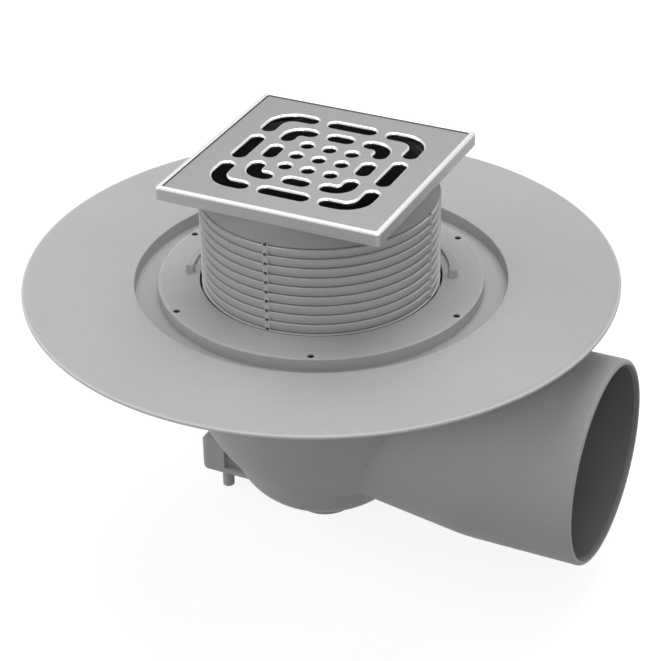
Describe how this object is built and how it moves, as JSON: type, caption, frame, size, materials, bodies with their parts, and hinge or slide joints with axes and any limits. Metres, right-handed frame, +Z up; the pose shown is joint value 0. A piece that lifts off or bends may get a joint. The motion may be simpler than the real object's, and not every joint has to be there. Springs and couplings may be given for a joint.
{
  "type": "floor drain",
  "caption": "Floor drain with a wide bedding flange, side outlet spigot, height-adjustable ringed riser, square metal frame with slotted grate, and a removable odour trap.",
  "frame": {"origin": "on the riser's vertical axis, level with the top of the raised ring with the six pilot holes", "axes": "+Z up, +X along the outlet spigot, away from the bowl"},
  "size_m": [0.364, 0.358, 0.2518],
  "materials": {
    "body_plastic": "moulded grey plastic, fine matt",
    "clip_plastic": "moulded grey plastic, fine matt",
    "riser_plastic": "moulded grey plastic, fine matt",
    "seal_rubber": "black rubber",
    "frame_steel": "polished lip, brushed sides",
    "grate_steel": "fine brushed, with bright rolled slot edges",
    "trap_plastic": "moulded dark grey plastic"
  },
  "bodies": {
    "drain": {"drain_body": "body_plastic", "riser_clip": "clip_plastic", "trap_insert": "trap_plastic", "trap_cup": "trap_plastic", "trap_gasket": "seal_rubber"},
    "seal": {"riser_seal": "seal_rubber"},
    "riser": {"riser": "riser_plastic", "top_frame": "frame_steel", "grate": "grate_steel"}
  },
  "joints": [
    {"name": "riser_turn", "type": "hinge", "parent": "drain", "child": "seal", "pos_m": [0, 0, -0.006], "axis": [0, 0, 1], "continuous": true},
    {"name": "riser_slide", "type": "slide", "parent": "seal", "child": "riser", "axis": [0, 0, 1], "range_m": [-0.033, 0.01]}
  ]
}
